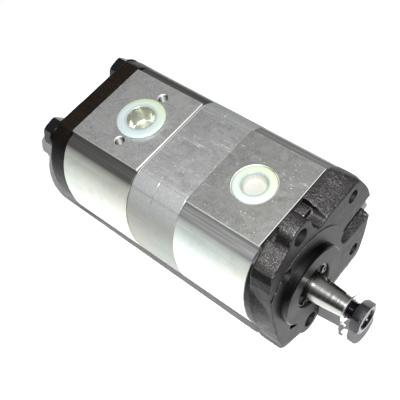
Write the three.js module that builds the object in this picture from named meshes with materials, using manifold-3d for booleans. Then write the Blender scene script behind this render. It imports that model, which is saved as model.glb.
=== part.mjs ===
// Tandem hydraulic gear pump: two gear sections in line on one drive line.
//
// Pump axes while modelling, in millimetres: x = 0 is the mounting face of the front
// cover and +X points out along the drive shaft; y = 0, z = 0 is the drive shaft's
// axis; the driven (idler) gears lie towards +Y; the port faces look up and down (Z).
// The finished group is shifted so that its origin is the bottom centre of its box.

import * as THREE from 'three';
import { mergeVertices } from 'three/addons/utils/BufferGeometryUtils.js';
import Module from 'manifold-3d';

const wasm = await Module();
wasm.setup();

// ---------------------------------------------------------------- driving dimensions

const GAP = 0.3;                    // clearance between neighbouring pieces

const MODULE = 2.75;                // gear module
const TEETH = 12;
const PITCH_R = (MODULE * TEETH) / 2;
const CENTRES = 2 * PITCH_R;        // drive axis to idler axis
const MID_Y = CENTRES / 2;          // the housings are symmetric about this y
const PRESSURE_ANGLE = THREE.MathUtils.degToRad(27);
const BACKLASH = 0.3;               // tooth thickness taken off at the pitch circle
const TIP_R = PITCH_R + MODULE;
const ROOT_R = PITCH_R - 1.22 * MODULE;
const CHAMBER_R = TIP_R + 0.4;
const JOURNAL_R = 9;

const PAD_Z = 44;                   // port faces at +-PAD_Z
const PAD_HALF = 31.5;              // half width of a port face
const LEDGE_Z = 40;                 // shoulder beside a port face
const SIDE_HALF = 52.6;             // half width of the housing at z = 0
const SIDE_B = 51.9;                // rounded side: |u/SIDE_HALF|^n + |z/SIDE_B|^n = 1
const SIDE_POWER = 2.3;

// stations along the shaft, from front to rear
const X_FACE = 0;
const X_COVER = -18.5;              // front cover / front body
const X_FRONT = -73;                // front body / front middle plate
const X_MID = -94.5;                // between the two middle plates
const X_REAR = -112.5;              // rear middle plate / rear body
const X_BACK = -171.5;              // rear body / rear cover
const X_END = -185;                 // back of the rear cover

const FRONT_GEAR = { x0: -57, x1: -35 };
const REAR_GEAR = { x0: -152, x1: -125 };

const PILOT_R = 27;
const PILOT_H = 5.2;
const SEAL_BORE_R = 15.4;
const SEAL_BORE_DEPTH = 7;
const RING_X0 = 2.0;                // retaining ring groove
const RING_X1 = 4.0;
const RING_GROOVE_R = 16.6;

const BOLT_Y = 32;                  // through bolts at MID_Y +- BOLT_Y, +-BOLT_Z
const BOLT_Z = 29.7;
const BOLT_R = 4.8;
const BOLT_HOLE_R = 5.2;
const BOLT_TIP_X = -3;
const WASHER_R = 11.5;
const WASHER_T = 2.3;
const HEAD_AF = 18;
const HEAD_T = 7.7;
const HEAD_TURN = THREE.MathUtils.degToRad(12);

const LUG_Y = -0.5;                 // mounting lugs above and below the pilot
const LUG_Z = 50;
const LUG_R = 10.6;
const LUG_T = 10;
const LUG_HOLE_R = 5.7;
const EAR_REAR_SCALE = 1.09;        // the ear grows towards the body, as draft

const TAPER_BIG_R = 8.8;            // 1:5 taper
const TAPER_X0 = 6.5;
const TAPER_X1 = 29;
const TAPER_SMALL_R = TAPER_BIG_R - (TAPER_X1 - TAPER_X0) / 10;
const THREAD_R = 6;
const SHAFT_END_X = 40.6;
const NUT_X0 = 35.2;
const NUT_X1 = 41.7;
const NUT_AF = 18;
const NUT_TURN = THREE.MathUtils.degToRad(16);
const TAB_WASHER_R = 8.7;
const TAB_WASHER_T = 1;

const REAR_PORT = { x: -138.5, bore: 10.4, flange: 16.2, spot: 0, screw: 20.8 };
const FRONT_PORT = { x: -46.4, bore: 10.4, flange: 13.7, spot: 1.6, screw: 0 };
const SCREW_HOLE_R = 3.5;
const SCREW_HOLE_DEPTH = 12;

const SEAL_TRACK_R = 23.2;          // middle line of the seals round the gear chamber
const SEAL_W = 2.2;
const SEAL_T = 1.5;

const DOWEL_Y = 46.9;               // dowels at MID_Y +- DOWEL_Y on the centre plane
const DOWEL_R = 2.5;
const DOWEL_HALF = 6;

const SEG = { large: 36, medium: 24, small: 14 };

// ---------------------------------------------------------------- materials

const finish = (color, roughness, metalness) => ({ color, roughness, metalness });
const FINISH = {
  cast_iron: finish(0x3a3b3d, 0.6, 0.6),
  rear_iron: finish(0x2b2624, 0.6, 0.5),
  aluminium: finish(0xb4b4b0, 0.4, 0.9),
  plate: finish(0xa3a3a4, 0.42, 0.9),
  bushing: finish(0x9a9c9f, 0.4, 0.9),
  bronze: finish(0x9a7a45, 0.4, 0.9),
  steel: finish(0xc4c4c0, 0.22, 1),
  black_steel: finish(0x1c1c1e, 0.35, 0.8),
  nut: finish(0x4c4a54, 0.4, 0.8),
  zinc: finish(0xc9c9c6, 0.3, 0.9),
  rubber: finish(0x151515, 0.7, 0),
  plastic: finish(0xdfeee4, 0.35, 0),
};

// ---------------------------------------------------------------- solid tools

/** A closed three.js geometry as a manifold solid. */
function solid(geometry) {
  const bare = geometry.clone();
  for (const name of Object.keys(bare.attributes)) {
    if (name !== 'position') bare.deleteAttribute(name);
  }
  const merged = mergeVertices(bare, 1e-4);
  const index = merged.index.array;
  const triangles = [];
  for (let i = 0; i < index.length; i += 3) {
    const [a, b, c] = [index[i], index[i + 1], index[i + 2]];
    if (a !== b && b !== c && c !== a) triangles.push(a, b, c);
  }
  return new wasm.Manifold(new wasm.Mesh({
    numProp: 3,
    vertProperties: new Float32Array(merged.attributes.position.array),
    triVerts: new Uint32Array(triangles),
  }));
}

/** A manifold solid as a three.js geometry. */
function geometryOf(body) {
  const mesh = body.getMesh();
  const geometry = new THREE.BufferGeometry();
  geometry.setAttribute('position', new THREE.BufferAttribute(new Float32Array(mesh.vertProperties), 3));
  geometry.setIndex(new THREE.BufferAttribute(new Uint32Array(mesh.triVerts), 1));
  geometry.computeVertexNormals();
  return geometry;
}

const join = (first, ...others) => others.reduce((sum, next) => sum.add(next), first);
const cut = (first, ...others) => others.reduce((rest, next) => rest.subtract(next), first);

// a Shape drawn in (y, z) is extruded along x
const SHAPE_TO_X = new THREE.Matrix4().makeBasis(
  new THREE.Vector3(0, 1, 0),
  new THREE.Vector3(0, 0, 1),
  new THREE.Vector3(1, 0, 0),
);

/** Prism along x from x0 to x1 whose section is the closed (y, z) outline. */
function prism(outline, x0, x1) {
  const shape = outline instanceof THREE.Shape ? outline : new THREE.Shape(outline);
  const geometry = new THREE.ExtrudeGeometry(shape, {
    depth: x1 - x0,
    bevelEnabled: false,
    curveSegments: 12,
  });
  geometry.applyMatrix4(SHAPE_TO_X);
  geometry.translate(x0, 0, 0);
  return solid(geometry);
}

/** Solid of revolution about the line y, z from a profile of [x, radius] pairs. */
function turned(profile, y = 0, z = 0, segments = SEG.medium) {
  const points = profile.map(([x, r]) => new THREE.Vector2(r, x));
  const geometry = new THREE.LatheGeometry(points, segments);
  geometry.rotateZ(-Math.PI / 2);
  geometry.translate(0, y, z);
  return solid(geometry);
}

/** Solid of revolution about a vertical line x, y from a profile of [z, radius] pairs. */
function turnedUp(profile, x, y, segments = SEG.medium) {
  const points = profile.map(([z, r]) => new THREE.Vector2(r, z));
  const geometry = new THREE.LatheGeometry(points, segments);
  geometry.rotateX(Math.PI / 2);
  geometry.translate(x, y, 0);
  return solid(geometry);
}

const rod = (x0, x1, r, y = 0, z = 0, segments = SEG.medium) =>
  turned([[x0, 0], [x0, r], [x1, r], [x1, 0]], y, z, segments);

const post = (z0, z1, r, x, y, segments = SEG.medium) =>
  turnedUp([[z0, 0], [z0, r], [z1, r], [z1, 0]], x, y, segments);

const tube = (x0, x1, outer, inner, y = 0, z = 0, segments = SEG.medium) =>
  turned([[x0, inner], [x0, outer], [x1, outer], [x1, inner], [x0, inner]], y, z, segments);

function block(x0, x1, y0, y1, z0, z1) {
  const geometry = new THREE.BoxGeometry(x1 - x0, y1 - y0, z1 - z0);
  geometry.translate((x0 + x1) / 2, (y0 + y1) / 2, (z0 + z1) / 2);
  return solid(geometry);
}

/** The same solid mirrored from the upper to the lower side. */
const mirrored = (body) => body.mirror([0, 0, 1]);

const hexagon = (acrossFlats, turn = 0) => Array.from({ length: 6 }, (_, i) => {
  const angle = turn + (i * Math.PI) / 3;
  const r = acrossFlats / Math.sqrt(3);
  return new THREE.Vector2(r * Math.cos(angle), r * Math.sin(angle));
});

/** Hexagonal prism along x with both faces chamfered as a nut is. */
function hexBody(acrossFlats, x0, x1, turn, y = 0, z = 0) {
  const corner = acrossFlats / Math.sqrt(3);
  const bevel = 0.7;
  const edge = corner - bevel * 1.3;
  const envelope = turned([
    [x0, 0], [x0, edge], [x0 + bevel, corner + 0.05],
    [x1 - bevel, corner + 0.05], [x1, edge], [x1, 0],
  ], y, z, SEG.medium);
  const prismBody = prism(hexagon(acrossFlats, turn), x0, x1).translate([0, y, z]);
  return prismBody.intersect(envelope);
}

// ---------------------------------------------------------------- outlines in (y, z)

/** Half width of the rounded housing side at height z. */
function sideAt(z) {
  return SIDE_HALF * (1 - (Math.abs(z) / SIDE_B) ** SIDE_POWER) ** (1 / SIDE_POWER);
}

/** Closed outline from the points of its upper right quarter, mirrored twice. */
function fourfold(quarter) {
  const right = [...quarter.map(([u, z]) => [u, -z]).reverse(), ...quarter.slice(1)];
  const left = right.map(([u, z]) => [-u, -z]);
  return [...right, ...left].map(([u, z]) => new THREE.Vector2(MID_Y + u, z));
}

/** Points of the rounded side from z = 0 up to z = top. */
function sideCurve(top, steps) {
  return Array.from({ length: steps + 1 }, (_, i) => {
    const z = top * Math.sin((i / steps) * (Math.PI / 2));
    return [sideAt(z), z];
  });
}

const bodyOutline = () => fourfold([
  ...sideCurve(LEDGE_Z, 9),
  [PAD_HALF + 1.6, LEDGE_Z],
  [PAD_HALF + 0.6, LEDGE_Z + 0.5],
  [PAD_HALF + 0.2, LEDGE_Z + 1.6],
  [PAD_HALF, PAD_Z - 0.4],
  [PAD_HALF - 0.5, PAD_Z],
]);

const plateOutline = () => fourfold([
  ...sideCurve(38, 9),
  [37.4, 40.4],
  [33, 42.8],
  [29.5, PAD_Z],
]);

const coverOutline = (top = PAD_Z - 0.5) => fourfold([...sideCurve(top, 9)]);

/** Long ring round both gear axes, as an outline at a given radius. */
function raceTrack(radius, steps = 9) {
  const points = [];
  for (let i = 0; i <= steps; i += 1) {
    const angle = Math.PI / 2 + (i / steps) * Math.PI;
    points.push(new THREE.Vector2(radius * Math.cos(angle), radius * Math.sin(angle)));
  }
  for (let i = 0; i <= steps; i += 1) {
    const angle = -Math.PI / 2 + (i / steps) * Math.PI;
    points.push(new THREE.Vector2(CENTRES + radius * Math.cos(angle), radius * Math.sin(angle)));
  }
  return points;
}

function raceTrackRing(middle, width) {
  const shape = new THREE.Shape(raceTrack(middle + width / 2));
  shape.holes.push(new THREE.Path(raceTrack(middle - width / 2).reverse()));
  return shape;
}

/** Involute gear outline about its own centre, one tooth on the +Y axis turned by phase. */
function gearOutline(phase) {
  const baseR = PITCH_R * Math.cos(PRESSURE_ANGLE);
  const involute = (a) => Math.tan(a) - a;
  const halfAtPitch = Math.PI / (2 * TEETH) - BACKLASH / (2 * PITCH_R);
  const flank = [baseR, PITCH_R - 0.3, PITCH_R + 1.3, TIP_R - 0.1];
  const halfAngle = (r) => halfAtPitch + involute(PRESSURE_ANGLE) - involute(Math.acos(baseR / r));
  const rootHalf = halfAngle(baseR) + 0.03;
  const side = [[ROOT_R, rootHalf], ...flank.map((r) => [r, halfAngle(r)])];
  const points = [];
  for (let tooth = 0; tooth < TEETH; tooth += 1) {
    const middle = phase + (tooth * 2 * Math.PI) / TEETH;
    const place = ([r, angle]) => points.push(
      new THREE.Vector2(r * Math.cos(middle + angle), r * Math.sin(middle + angle)),
    );
    side.map(([r, a]) => [r, -a]).forEach(place);
    side.slice().reverse().forEach(place);
  }
  return points;
}

const gearPrism = (range, y, phase) => prism(gearOutline(phase), range.x0 + GAP, range.x1 - GAP)
  .translate([0, y, 0]);

/** Ring of square spline teeth for the coupling ends. */
function splineOutline(inner, outer) {
  const teeth = 8;
  const points = [];
  for (let i = 0; i < teeth * 2; i += 1) {
    const r = i % 2 ? inner : outer;
    const middle = (i * Math.PI) / teeth;
    for (const offset of [-0.16, 0.16]) {
      points.push(new THREE.Vector2(r * Math.cos(middle + offset), r * Math.sin(middle + offset)));
    }
  }
  return points;
}

// ---------------------------------------------------------------- shared cuts

const boltPlaces = [-1, 1].flatMap((sy) => [-1, 1].map((sz) => ({
  y: MID_Y + sy * BOLT_Y,
  z: sz * BOLT_Z,
  label: `${sz > 0 ? 'upper' : 'lower'}_${sy < 0 ? 'drive' : 'idler'}_side`,
})));

const boltHoles = (x0, x1, r = BOLT_HOLE_R) => boltPlaces.map(({ y, z }) =>
  rod(x0 - 1, x1 + 1, r, y, z, SEG.small));

const dowelHoles = (joint) => [-1, 1].map((side) =>
  rod(joint - DOWEL_HALF - GAP, joint + DOWEL_HALF + GAP, DOWEL_R + GAP, MID_Y + side * DOWEL_Y, 0, SEG.small));

const gearChamber = (x0, x1) => join(
  rod(x0, x1, CHAMBER_R, 0, 0, SEG.large),
  rod(x0, x1, CHAMBER_R, CENTRES, 0, SEG.large),
);

/** Groove for a chamber seal, opening at face x towards `into`. */
function sealGroove(face, into) {
  const depth = SEAL_T + 2 * GAP;
  const [x0, x1] = into < 0 ? [face - depth, face + 1] : [face - 1, face + depth];
  return prism(raceTrackRing(SEAL_TRACK_R, SEAL_W + 2 * GAP), x0, x1);
}

/** Everything one port cuts out of the upper side of a body. */
function portCuts(port) {
  const cuts = [post(6, PAD_Z + 1, port.bore, port.x, MID_Y)];
  if (port.spot > 0) cuts.push(post(PAD_Z - port.spot, PAD_Z + 1, port.flange + 0.5, port.x, MID_Y, SEG.large));
  if (port.screw > 0) {
    for (const side of [-1, 1]) {
      cuts.push(post(PAD_Z - SCREW_HOLE_DEPTH, PAD_Z + 1, SCREW_HOLE_R, port.x, MID_Y + side * port.screw, SEG.small));
    }
  }
  return cuts;
}

// ---------------------------------------------------------------- housings

/** Aluminium body of one section: two port faces, gear chamber, bolt and dowel holes. */
function gearBody(x0, x1, port) {
  const cuts = portCuts(port);
  return cut(
    prism(bodyOutline(), x0 + GAP / 2, x1 - GAP / 2),
    gearChamber(x0 - 1, x1 + 1),
    ...boltHoles(x0, x1),
    ...dowelHoles(x0),
    ...dowelHoles(x1),
    sealGroove(x0 + GAP / 2, 1),
    sealGroove(x1 - GAP / 2, -1),
    ...cuts,
    ...cuts.map(mirrored),
  );
}

const COUPLING_BORE_R = 12.3;

function middlePlate(x0, x1, ringGroove) {
  const cuts = [
    rod(x0 - 1, x1 + 1, COUPLING_BORE_R),
    ...boltHoles(x0, x1),
    ...dowelHoles(x0 === X_MID ? x1 : x0),
  ];
  if (ringGroove) {
    cuts.push(tube(x1 - SEAL_T - 2 * GAP - GAP / 2, x1 + 1, 18 + GAP, 18 - SEAL_W - GAP, 0, 0, SEG.large));
  }
  return cut(prism(plateOutline(), x0 + GAP / 2, x1 - GAP / 2), ...cuts);
}

function rearCover() {
  const outline = coverOutline(PAD_Z - 0.1);
  const slab = prism(outline, X_END + 0.8, X_BACK - GAP / 2);
  const rib = prism(fourfold([[40, 0], [38, 12], [26, 18], [18, 40], [10, PAD_Z - 1]]), X_END, X_END + 2);
  const bosses = boltPlaces.map(({ y, z }) => rod(X_END, X_END + 2, WASHER_R + 0.4, y, z));
  const lump = join(rib, ...bosses).intersect(prism(outline, X_END - 1, X_BACK));
  return cut(join(slab, lump), ...boltHoles(X_END, X_BACK), ...dowelHoles(X_BACK));
}

// upper half of the mounting flange's outline, from the drive side round to the slot
const FLANGE_HALF = [
  [-32.3, 0], [-32, 20], [-31.3, 31], [-29.8, 38.4], [-27.4, 42.8], [-23, 45.9], [-17.3, 49],
  [-11.4, 51.8],
];
const LUG_ARC = { from: 170, to: 4 };
const EAR_HALF = [
  [11.6, 45.5], [13.2, 42.2], [17, 40.2], [50, 39.8], [54, 38.2], [57.4, 34.5], [61.6, 26.5],
  [65, 18], [67.2, 9.5],
];

/** Mounting flange outline: shoulders, two lugs, and the ear on the idler side. */
function flangeOutline() {
  const upper = FLANGE_HALF.map(([y, z]) => new THREE.Vector2(y, z));
  const steps = 12;
  for (let i = 0; i <= steps; i += 1) {
    const angle = THREE.MathUtils.degToRad(LUG_ARC.from + ((LUG_ARC.to - LUG_ARC.from) * i) / steps);
    upper.push(new THREE.Vector2(LUG_Y + LUG_R * Math.cos(angle), LUG_Z + LUG_R * Math.sin(angle)));
  }
  EAR_HALF.forEach(([y, z]) => upper.push(new THREE.Vector2(y, z)));
  const lower = upper.slice(1).map(({ x, y }) => new THREE.Vector2(x, -y)).reverse();
  return [...upper, ...lower];
}

/** The wide end of the flange, which runs back to the front body. */
function earOutline() {
  const upper = [[10, 43.4], [12, 42.6], ...EAR_HALF.slice(2)].map(([y, z]) => new THREE.Vector2(y, z));
  const lower = upper.map(({ x, y }) => new THREE.Vector2(x, -y)).reverse();
  return [...upper, ...lower];
}

const SLOT = { y: 43.4, z: -1.4, inner: 8.6, outer: 10.8, floor: -12 };

/** Open-ended slot in the ear, blind towards the body. */
function slotCut() {
  const points = [];
  const steps = 10;
  for (let i = 0; i <= steps; i += 1) {
    const angle = Math.PI / 2 + (i / steps) * Math.PI;
    points.push(new THREE.Vector2(SLOT.y + SLOT.inner * Math.cos(angle), SLOT.z + SLOT.inner * Math.sin(angle)));
  }
  points.push(new THREE.Vector2(72, SLOT.z - SLOT.outer), new THREE.Vector2(72, SLOT.z + SLOT.outer));
  return prism(points, SLOT.floor, X_FACE + 1);
}

/** Prism whose section is scaled about the middle at either end, as cast sides with draft are. */
function tapered(outline, x0, x1, rearScale, frontScale) {
  const geometry = new THREE.ExtrudeGeometry(new THREE.Shape(outline), { depth: x1 - x0, bevelEnabled: false });
  geometry.applyMatrix4(SHAPE_TO_X);
  const place = geometry.attributes.position;
  for (let i = 0; i < place.count; i += 1) {
    const scale = place.getX(i) > (x1 - x0) / 2 ? frontScale : rearScale;
    place.setY(i, MID_Y + (place.getY(i) - MID_Y) * scale);
    place.setZ(i, place.getZ(i) * scale);
  }
  geometry.translate(x0, 0, 0);
  return solid(geometry);
}

function frontCover() {
  const rear = X_COVER + GAP / 2;
  const flangeBack = -14;
  const raised = [
    prism(coverOutline(), rear, flangeBack + 1),
    tapered(coverOutline(), flangeBack, X_FACE - 1, 1, 0.91),
    prism(flangeOutline(), flangeBack, X_FACE),
    tapered(earOutline(), rear, X_FACE, EAR_REAR_SCALE, 1)
      .intersect(prism(coverOutline(PAD_Z - 0.1), rear - 1, X_FACE + 1)),
    turned([
      [X_FACE - 1, 0], [X_FACE - 1, PILOT_R], [PILOT_H - 0.8, PILOT_R],
      [PILOT_H, PILOT_R - 0.8], [PILOT_H, 0],
    ], 0, 0, SEG.large),
  ];
  const lugClear = LUG_Y + LUG_R + 0.6;
  const lugBack = [block(flangeBack - 1, -LUG_T, LUG_Y - LUG_R - 0.4, lugClear, 47.5, 70)];
  const valley = block(rear - 1, X_FACE + 1, 13.4, 24.5, 38.2, 60);
  const notch = block(rear - 1, flangeBack - 1.2, -22.5, -3, 37, 60);
  const stud = block(rear, -11, 15.6, 22, 36, 41);
  const upperCuts = [
    ...lugBack,
    valley,
    notch,
    rod(-20, 1, LUG_HOLE_R, LUG_Y, LUG_Z, SEG.medium),
  ];
  const shell = cut(join(...raised), ...upperCuts, ...upperCuts.map(mirrored));
  return cut(
    join(shell, stud, mirrored(stud)),
    slotCut(),
    ...boltHoles(rear, X_FACE),
    ...dowelHoles(X_COVER),
    rod(rear - 1, PILOT_H + 1, JOURNAL_R + 1),
    rod(PILOT_H - SEAL_BORE_DEPTH - 3, PILOT_H + 1, SEAL_BORE_R, 0, 0, SEG.large),
    rod(RING_X0, RING_X1, RING_GROOVE_R, 0, 0, SEG.large),
  );
}

// ---------------------------------------------------------------- moving pieces

function driveShaft() {
  const rearStub = -89;
  const turnedPart = turned([
    [X_FRONT - 2, 0], [X_FRONT - 2, 6.4], [X_FRONT + 0.6, 6.4], [X_FRONT + 1, JOURNAL_R - 0.4],
    [X_FRONT + 1.4, JOURNAL_R], [TAPER_X0 - 1.2, JOURNAL_R], [TAPER_X0, TAPER_BIG_R],
    [TAPER_X1, TAPER_SMALL_R], [TAPER_X1, THREAD_R], [SHAFT_END_X - 0.8, THREAD_R],
    [SHAFT_END_X, THREAD_R - 0.8], [SHAFT_END_X, 0],
  ], 0, 0, SEG.medium);
  const spline = prism(splineOutline(5.4, 6.8), rearStub, X_FRONT - 1);
  const keyway = block(12, 24.5, -1.5, 1.5, 5.4, 12).rotate([-40, 0, 0]);
  return cut(join(turnedPart, spline, gearPrism(FRONT_GEAR, 0, 0)), keyway);
}

/** Gear with a plain journal at each end. */
function journalGear(range, y, phase, x0, x1) {
  const journals = turned([
    [x0, 0], [x0, JOURNAL_R - 0.6], [x0 + 0.6, JOURNAL_R],
    [x1 - 0.6, JOURNAL_R], [x1, JOURNAL_R - 0.6], [x1, 0],
  ], y, 0, SEG.medium);
  return journals.add(gearPrism(range, y, phase));
}

function rearDriveGear() {
  const stub = prism(splineOutline(5.4, 6.8), X_REAR - 1, X_MID + 4.5);
  return journalGear(REAR_GEAR, 0, 0, X_BACK + 0.8, X_REAR - 0.5).add(stub);
}

function couplingSleeve() {
  const bore = prism(splineOutline(5.4 + GAP, 6.8 + GAP), -120, -60);
  return cut(tube(X_REAR + 5.5, X_FRONT - 4, 11.6, 3, 0, 0, SEG.medium), bore);
}

const IDLER_PHASE = Math.PI + Math.PI / TEETH;

const shaftNut = () => cut(
  hexBody(NUT_AF, NUT_X0, NUT_X1, NUT_TURN),
  rod(NUT_X0 - 1, NUT_X1 + 1, THREAD_R + GAP),
);

/** Tab washer: two tabs, each with its tip bent forward over the nut's side. */
function tabWasher() {
  const x0 = TAPER_X1 + 0.2;
  const x1 = x0 + TAB_WASHER_T;
  const tab = join(
    block(x0, x1, 7, 11, -1.8, 1.8),
    block(x0, x1 + 2.2, 10, 11, -1.8, 1.8),
  );
  const ring = tube(x0, x1, TAB_WASHER_R, THREAD_R + GAP, 0, 0, SEG.medium);
  return join(ring, tab.rotate([28, 0, 0]), tab.rotate([-146, 0, 0]));
}

// ---------------------------------------------------------------- inner pieces and seals

/** One-piece bearing block for both gear axes, with bores for its bushes. */
function bearingBlock(x0, x1) {
  const lobes = join(
    rod(x0, x1, CHAMBER_R - GAP, 0, 0, SEG.large),
    rod(x0, x1, CHAMBER_R - GAP, CENTRES, 0, SEG.large),
  );
  return cut(
    lobes,
    rod(x0 - 1, x1 + 1, 11.3),
    rod(x0 - 1, x1 + 1, 11.3, CENTRES),
  );
}

const bush = (x0, x1, y) => tube(x0 + 0.5, x1 - 0.5, 11, JOURNAL_R + GAP, y, 0, SEG.medium);

const chamberSeal = (x0) => prism(raceTrackRing(SEAL_TRACK_R, SEAL_W), x0, x0 + SEAL_T);

const shaftSeal = () => turned([
  [-4.4, 9.3], [-4.4, 15.1], [1.6, 15.1], [1.6, 13.4], [-0.6, 12.2], [0.8, 9.5], [0, 9.3], [-4.4, 9.3],
], 0, 0, SEG.medium);

/** C-shaped retaining ring with a drilled lug at each end. */
function retainingRing() {
  const x0 = RING_X0 + GAP;
  const x1 = RING_X1 - GAP;
  const outer = RING_GROOVE_R - GAP;
  const inner = outer - 2.6;
  const from = THREE.MathUtils.degToRad(6);
  const to = THREE.MathUtils.degToRad(230);
  const shape = new THREE.Shape();
  shape.absarc(0, 0, outer, from, to, false);
  shape.absarc(0, 0, inner, to, from, true);
  const lugs = [from, to].map((angle) => {
    const y = 12.7 * Math.cos(angle);
    const z = 12.7 * Math.sin(angle);
    return cut(rod(x0, x1, 2.9, y, z, SEG.small), rod(x0 - 1, x1 + 1, 1.2, y, z, SEG.small));
  });
  const drilled = [from, to].map((angle) =>
    rod(x0 - 1, x1 + 1, 1.2, 12.7 * Math.cos(angle), 12.7 * Math.sin(angle), SEG.small));
  return cut(join(prism(shape, x0, x1), ...lugs), ...drilled);
}

/** Push-in transport plug: a thin cup with a wide rim. */
function portPlug(port, cupR, depth, rimT) {
  const seat = PAD_Z - port.spot + GAP;
  const wall = 1.1;
  const shell = port.bore - GAP;
  return turnedUp([
    [seat - depth, 0], [seat - depth, shell - 0.6], [seat, shell], [seat, port.flange],
    [seat + rimT - 0.5, port.flange], [seat + rimT, port.flange - 0.6], [seat + rimT, cupR],
    [seat - depth + wall, cupR - 0.8], [seat - depth + wall, 0],
  ], port.x, MID_Y, SEG.medium + 4);
}

// ---------------------------------------------------------------- fasteners

function throughBolt({ y, z }) {
  const seat = X_END - WASHER_T - GAP;
  const headEnd = seat - HEAD_T;
  const shank = turned([
    [seat - 0.5, 0], [seat - 0.5, BOLT_R], [BOLT_TIP_X - 1, BOLT_R], [BOLT_TIP_X, BOLT_R - 1],
    [BOLT_TIP_X, 0],
  ], y, z, SEG.small);
  return hexBody(HEAD_AF, headEnd, seat - GAP / 3, HEAD_TURN, y, z).add(shank);
}

const boltWasher = ({ y, z }) => tube(
  X_END - WASHER_T, X_END - 0.1, WASHER_R, BOLT_R + GAP, y, z, SEG.medium,
);

const dowel = (joint, side) => rod(
  joint - DOWEL_HALF, joint + DOWEL_HALF, DOWEL_R, MID_Y + side * DOWEL_Y, 0, 12,
);

// ---------------------------------------------------------------- assembly

const pump = new THREE.Group();

function add(name, look, body) {
  const mesh = new THREE.Mesh(geometryOf(body), new THREE.MeshStandardMaterial(FINISH[look]));
  mesh.name = name;
  pump.add(mesh);
}

add('front_cover', 'cast_iron', frontCover());
add('front_body', 'aluminium', gearBody(X_FRONT, X_COVER, FRONT_PORT));
add('middle_plate_front', 'plate', middlePlate(X_MID, X_FRONT, false));
add('middle_plate_rear', 'plate', middlePlate(X_REAR, X_MID, true));
add('rear_body', 'aluminium', gearBody(X_BACK, X_REAR, REAR_PORT));
add('rear_cover', 'rear_iron', rearCover());

add('drive_shaft', 'steel', driveShaft());
add('shaft_nut', 'nut', shaftNut());
add('tab_washer', 'zinc', tabWasher());
add('coupling_sleeve', 'steel', couplingSleeve());
add('front_idler_gear', 'steel', journalGear(FRONT_GEAR, CENTRES, IDLER_PHASE, X_FRONT + 0.8, X_COVER - 0.8));
add('rear_drive_gear', 'steel', rearDriveGear());
add('rear_idler_gear', 'steel', journalGear(REAR_GEAR, CENTRES, IDLER_PHASE, X_BACK + 0.8, X_REAR - 0.8));

const blockSpans = {
  front_section_front: [FRONT_GEAR.x1, X_COVER - GAP],
  front_section_rear: [X_FRONT + GAP, FRONT_GEAR.x0],
  rear_section_front: [REAR_GEAR.x1, X_REAR - GAP],
  rear_section_rear: [X_BACK + GAP, REAR_GEAR.x0],
};
for (const [place, [x0, x1]] of Object.entries(blockSpans)) {
  add(`${place}_bearing_block`, 'bushing', bearingBlock(x0, x1));
  add(`${place}_drive_bush`, 'bronze', bush(x0, x1, 0));
  add(`${place}_idler_bush`, 'bronze', bush(x0, x1, CENTRES));
}

add('shaft_seal', 'rubber', shaftSeal());
add('retaining_ring', 'black_steel', retainingRing());
add('front_body_front_seal', 'rubber', chamberSeal(X_COVER - GAP / 2 - SEAL_T - GAP));
add('front_body_rear_seal', 'rubber', chamberSeal(X_FRONT + GAP / 2 + GAP));
add('rear_body_front_seal', 'rubber', chamberSeal(X_REAR - GAP / 2 - SEAL_T - GAP));
add('rear_body_rear_seal', 'rubber', chamberSeal(X_BACK + GAP / 2 + GAP));
add('middle_plate_seal', 'rubber', tube(X_MID - GAP / 2 - SEAL_T - GAP, X_MID - GAP / 2 - GAP, 18, 18 - SEAL_W));

for (const [port, place, cupR, depth, rimT] of [
  [REAR_PORT, 'rear', 9.4, 12, 1.8],
  [FRONT_PORT, 'front', 8.2, 5, 1.9],
]) {
  add(`${place}_port_plug_upper`, 'plastic', portPlug(port, cupR, depth, rimT));
  add(`${place}_port_plug_lower`, 'plastic', mirrored(portPlug(port, cupR, depth, rimT)));
}

boltPlaces.forEach((place) => {
  add(`through_bolt_${place.label}`, 'black_steel', throughBolt(place));
  add(`bolt_washer_${place.label}`, 'black_steel', boltWasher(place));
});

for (const [joint, place] of [[X_COVER, 'front_cover'], [X_FRONT, 'front_body'], [X_REAR, 'rear_body'],
  [X_BACK, 'rear_cover']]) {
  add(`dowel_${place}_drive_side`, 'steel', dowel(joint, -1));
  add(`dowel_${place}_idler_side`, 'steel', dowel(joint, 1));
}

// origin at the bottom centre of the whole pump's box
const box = new THREE.Box3().setFromObject(pump);
pump.position.set(-(box.min.x + box.max.x) / 2, -(box.min.y + box.max.y) / 2, -box.min.z);

export default pump;
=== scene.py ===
"""Looks of the tandem gear pump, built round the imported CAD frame.

Lengths are written in millimetres in the pump's own axes: x = 0 is the mounting face
and +X points out along the shaft, y = z = 0 is the shaft's axis, +Y is the idler side.
"""
import math

import bmesh
import bpy
import numpy as np
from mathutils import Matrix, Vector


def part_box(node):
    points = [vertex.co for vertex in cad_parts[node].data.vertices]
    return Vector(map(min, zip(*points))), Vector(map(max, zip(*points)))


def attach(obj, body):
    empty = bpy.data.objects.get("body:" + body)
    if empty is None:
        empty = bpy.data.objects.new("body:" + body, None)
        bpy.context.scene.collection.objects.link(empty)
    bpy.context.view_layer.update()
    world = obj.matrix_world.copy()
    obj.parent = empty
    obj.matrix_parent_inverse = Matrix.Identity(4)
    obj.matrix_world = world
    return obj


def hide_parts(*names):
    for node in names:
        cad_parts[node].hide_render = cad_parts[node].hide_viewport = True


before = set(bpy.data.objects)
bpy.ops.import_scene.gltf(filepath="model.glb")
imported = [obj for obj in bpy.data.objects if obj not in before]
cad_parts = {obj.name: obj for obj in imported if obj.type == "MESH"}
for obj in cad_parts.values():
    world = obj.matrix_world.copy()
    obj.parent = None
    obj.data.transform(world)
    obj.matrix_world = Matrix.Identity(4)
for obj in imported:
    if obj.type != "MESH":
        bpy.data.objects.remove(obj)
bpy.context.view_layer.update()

MM = 0.001

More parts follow.
